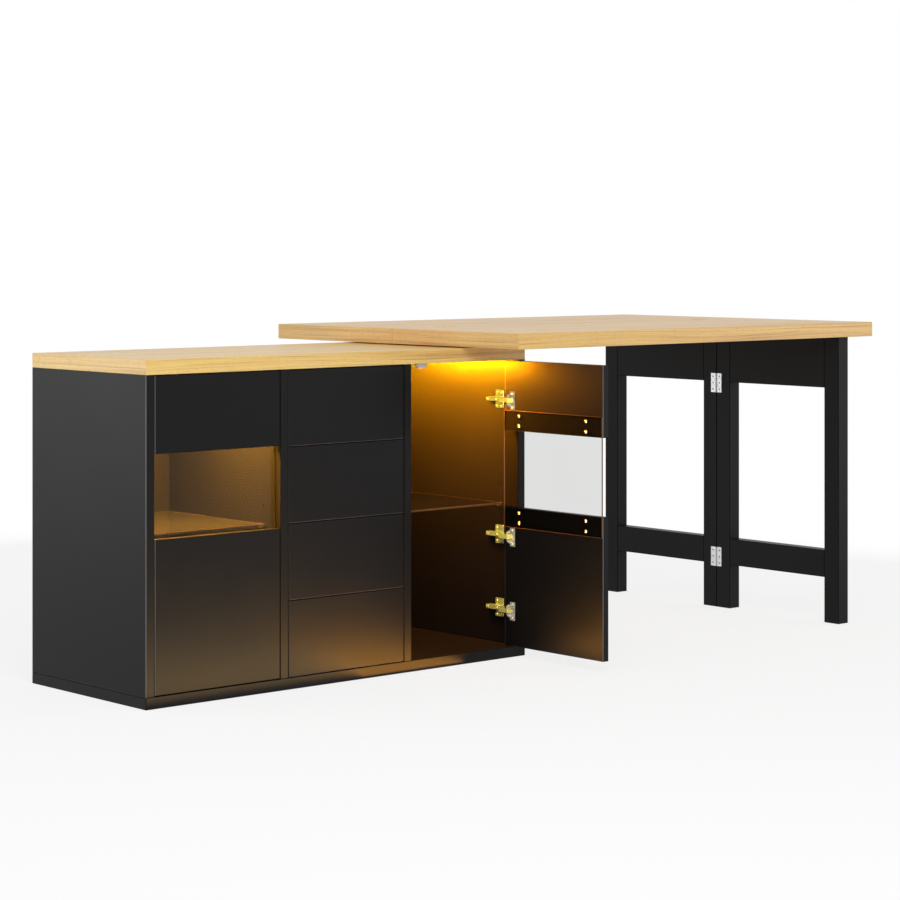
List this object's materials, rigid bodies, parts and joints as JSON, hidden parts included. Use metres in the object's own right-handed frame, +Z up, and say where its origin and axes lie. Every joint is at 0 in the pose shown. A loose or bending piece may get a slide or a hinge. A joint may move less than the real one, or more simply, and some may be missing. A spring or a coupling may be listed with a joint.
{
  "type": "kitchen island",
  "caption": "Dark cabinet with glazed doors and drawers under an oak worktop, and an oak table on a folding leg frame that swivels on the worktop and folds in half.",
  "frame": {"origin": "middle of the cabinet's underside, on the floor", "axes": "+X to the right along the cabinet and the table, +Y to the back, +Z up"},
  "size_m": [2.505, 1.1855, 0.9128],
  "materials": {
    "dark_laminate": "satin laminate",
    "oak": "satin oak",
    "drawer_board": "matt laminate",
    "clear_glass": "polished",
    "nickel": "nickel plated",
    "steel": "zinc plated",
    "pale_plastic": "satin",
    "light_diffuser": "frosted",
    "felt_pad": "felt"
  },
  "bodies": {
    "cabinet": {"base_slab": "dark_laminate", "left_side_panel": "dark_laminate", "right_side_panel": "dark_laminate", "left_divider": "dark_laminate", "right_divider": "dark_laminate", "back_panel": "dark_laminate", "countertop": "oak", "glass_shelves": "clear_glass", "shelf_pins": "pale_plastic", "light_strips": "light_diffuser", "door_stops": "pale_plastic", "hinge_arms": "nickel", "hinge_plates": "nickel", "cabinet_runners": "steel", "swivel_base_plate": "steel", "glide_pads": "felt_pad"},
    "left_door": {"left_door_upper_panel": "dark_laminate", "left_door_lower_panel": "dark_laminate", "left_door_window_glass": "clear_glass", "left_door_window_screws": "nickel", "left_door_hinge_cups": "nickel"},
    "right_door": {"right_door_upper_panel": "dark_laminate", "right_door_lower_panel": "dark_laminate", "right_door_window_glass": "clear_glass", "right_door_window_screws": "nickel", "right_door_hinge_cups": "nickel"},
    "drawer_1": {"drawer_1_front": "dark_laminate", "drawer_1_sides": "drawer_board", "drawer_1_back": "drawer_board", "drawer_1_bottom": "drawer_board", "drawer_1_runners": "steel"},
    "drawer_2": {"drawer_2_front": "dark_laminate", "drawer_2_sides": "drawer_board", "drawer_2_back": "drawer_board", "drawer_2_bottom": "drawer_board", "drawer_2_runners": "steel"},
    "drawer_3": {"drawer_3_front": "dark_laminate", "drawer_3_sides": "drawer_board", "drawer_3_back": "drawer_board", "drawer_3_bottom": "drawer_board", "drawer_3_runners": "steel"},
    "drawer_4": {"drawer_4_front": "dark_laminate", "drawer_4_sides": "drawer_board", "drawer_4_back": "drawer_board", "drawer_4_bottom": "drawer_board", "drawer_4_runners": "steel"},
    "table": {"rear_leaf": "oak", "swivel_top_plate": "steel", "rear_leaf_hinges": "steel", "rear_leg_posts": "dark_laminate", "rear_top_rail": "dark_laminate", "rear_lower_rail": "dark_laminate", "rear_leg_hinges": "steel"},
    "front_leaf": {"front_leaf": "oak", "front_leaf_hinges": "steel"},
    "front_leg": {"front_leg_posts": "dark_laminate", "front_top_rail": "dark_laminate", "front_lower_rail": "dark_laminate", "front_leg_hinges": "steel"}
  },
  "joints": [
    {"name": "table_swivel", "type": "hinge", "parent": "cabinet", "child": "table", "pos_m": [0.512, 0.1455, 0.864], "axis": [0, 0, 1], "range_deg": [0, 180]},
    {"name": "leaf_flip", "type": "hinge", "parent": "table", "child": "front_leaf", "pos_m": [1.134, 0.0345, 0.9105], "axis": [-1, 0, 0], "range_deg": [0, 180]},
    {"name": "leg_fold", "type": "hinge", "parent": "table", "child": "front_leg", "pos_m": [1.738, 0.0345, 0.129], "axis": [0, 0, -1], "range_deg": [0, 180]},
    {"name": "left_door_swing", "type": "hinge", "parent": "cabinet", "child": "left_door", "pos_m": [-0.5955, -0.2535, 0.03], "axis": [0, 0, -1], "range_deg": [0, 100]},
    {"name": "right_door_swing", "type": "hinge", "parent": "cabinet", "child": "right_door", "pos_m": [0.5955, -0.2535, 0.03], "axis": [0, 0, 1], "range_deg": [-90, 10]},
    {"name": "drawer_1_slide", "type": "slide", "parent": "cabinet", "child": "drawer_1", "axis": [0, -1, 0], "range_m": [0, 0.32]},
    {"name": "drawer_2_slide", "type": "slide", "parent": "cabinet", "child": "drawer_2", "axis": [0, -1, 0], "range_m": [0, 0.32]},
    {"name": "drawer_3_slide", "type": "slide", "parent": "cabinet", "child": "drawer_3", "axis": [0, -1, 0], "range_m": [0, 0.32]},
    {"name": "drawer_4_slide", "type": "slide", "parent": "cabinet", "child": "drawer_4", "axis": [0, -1, 0], "range_m": [0, 0.32]}
  ]
}
